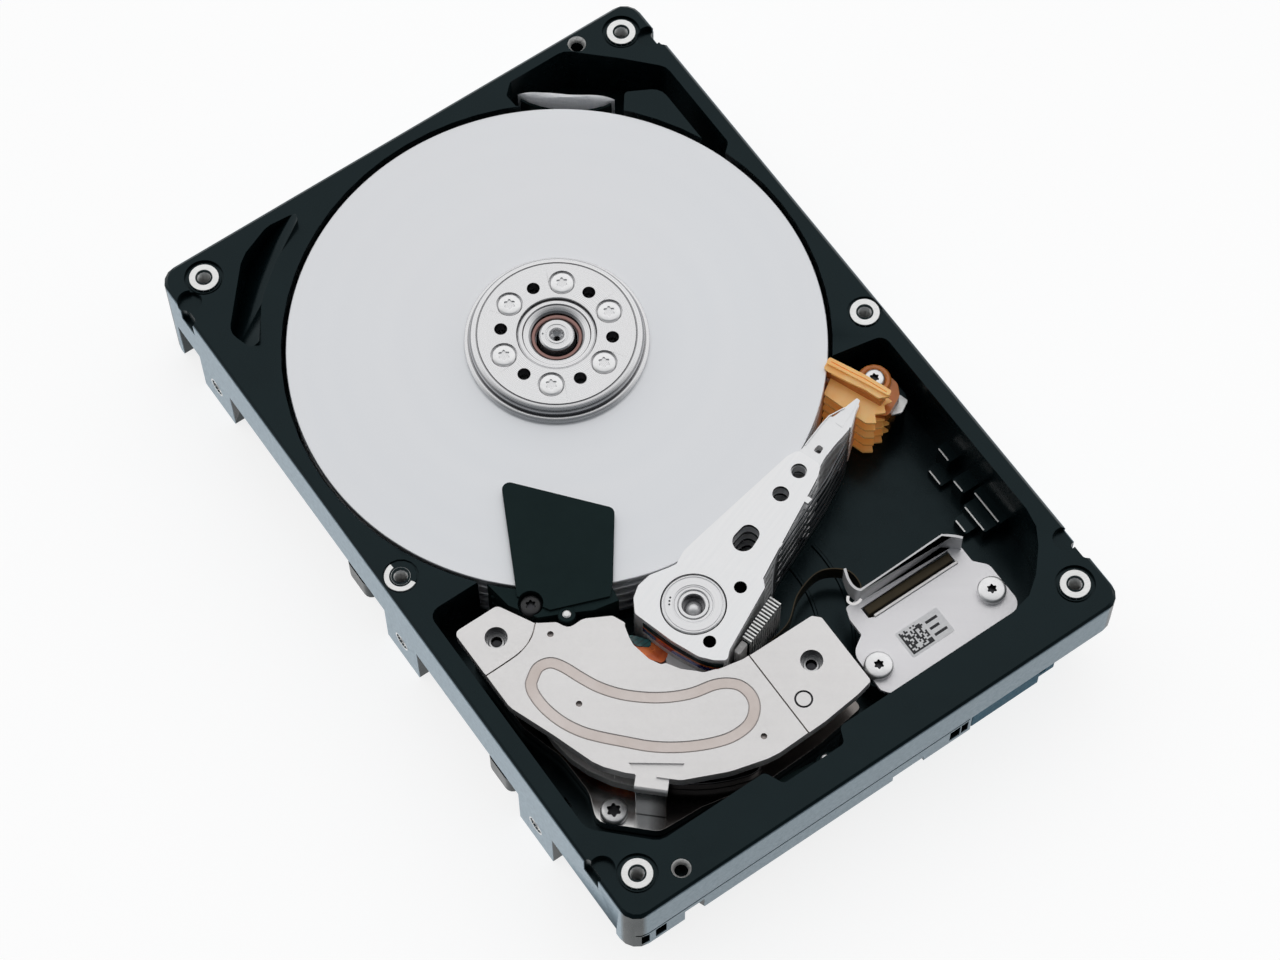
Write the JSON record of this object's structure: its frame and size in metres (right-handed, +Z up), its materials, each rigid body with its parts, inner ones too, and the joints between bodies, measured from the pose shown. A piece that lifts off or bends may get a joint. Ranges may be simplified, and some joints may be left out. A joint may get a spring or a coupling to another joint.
{
  "type": "hard disk drive",
  "caption": "Desktop hard disk drive without its top cover: cast tray, polished disks on a spindle, swinging head arms, voice-coil yoke, load ramp, latch and board",
  "frame": {"origin": "middle of the footprint, on the plane that the drive stands on", "axes": "+Z up, through the spindle; +Y along the length, from the interface connector towards the disks; +X across the width, to the side of the load ramp"},
  "size_m": [0.1016, 0.147, 0.0249],
  "materials": {
    "casting": "black coating on cast aluminium, semi-gloss; side bands and bosses machined bare",
    "disk": "polished thin-film disk coating",
    "steel": "machined and turned",
    "nickel": "nickel plated, satin",
    "aluminium": "machined",
    "copper": "enamelled winding",
    "magnet": "nickel-plated magnet",
    "overmould": "moulded around the coil",
    "ramp": "amber engineering plastic",
    "black_plastic": "moulded",
    "black_steel": "black oxide",
    "flex": "polyimide film",
    "flex_housing": "moulded",
    "filter": "fibre media",
    "board": "glass-fibre laminate with solder mask",
    "connector": "moulded"
  },
  "bodies": {
    "base": {"base_casting": "casting", "spindle_shaft": "steel", "motor_stator": "copper", "vcm_lower_yoke": "nickel", "vcm_upper_yoke": "nickel", "vcm_lower_magnet": "magnet", "vcm_upper_magnet": "magnet", "yoke_post_left": "steel", "yoke_post_right": "steel", "yoke_screw": "steel", "crash_stop_inner": "black_plastic", "crash_stop_outer": "black_plastic", "pivot_shaft": "steel", "load_ramp": "ramp", "ramp_screw": "steel", "air_damper": "black_plastic", "damper_screw": "black_steel", "recirculation_filter": "filter", "latch_pin": "steel", "flex_bracket": "nickel", "flex_bracket_screw_1": "steel", "flex_bracket_screw_2": "steel", "flex_cable": "flex", "flex_connector": "flex_housing", "circuit_board": "board", "interface_connector": "connector"},
    "spindle": {"spindle_hub": "steel", "disk_clamp": "steel", "platter_1": "disk", "platter_2": "disk", "platter_3": "disk", "platter_4": "disk", "platter_5": "disk", "disk_spacer_1": "steel", "disk_spacer_2": "steel", "disk_spacer_3": "steel", "disk_spacer_4": "steel", "clamp_screw_1": "steel", "clamp_screw_2": "steel", "clamp_screw_3": "steel", "clamp_screw_4": "steel", "clamp_screw_5": "steel", "clamp_screw_6": "steel"},
    "actuator": {"e_block": "aluminium", "pivot_bearing": "steel", "voice_coil": "copper", "coil_overmould": "overmould", "flex_stiffener": "black_plastic", "head_suspension_1": "nickel", "head_suspension_2": "nickel", "head_suspension_3": "nickel", "head_suspension_4": "nickel", "head_suspension_5": "nickel", "head_suspension_6": "nickel", "head_suspension_7": "nickel", "head_suspension_8": "nickel", "head_suspension_9": "nickel", "head_suspension_10": "nickel"},
    "latch": {"actuator_latch": "black_plastic"}
  },
  "joints": [
    {"name": "spindle_spin", "type": "hinge", "parent": "base", "child": "spindle", "pos_m": [0, 0.02246, 0], "axis": [0, 0, 1], "continuous": true},
    {"name": "actuator_swing", "type": "hinge", "parent": "base", "child": "actuator", "pos_m": [-0.0098, -0.0329, 0], "axis": [0, 0, 1], "range_deg": [0, 38], "deforming": ["flex_cable"]},
    {"name": "latch_swing", "type": "hinge", "parent": "base", "child": "latch", "pos_m": [-0.0059, -0.0659, 0], "axis": [0, 0, 1], "range_deg": [-8, 8]}
  ]
}
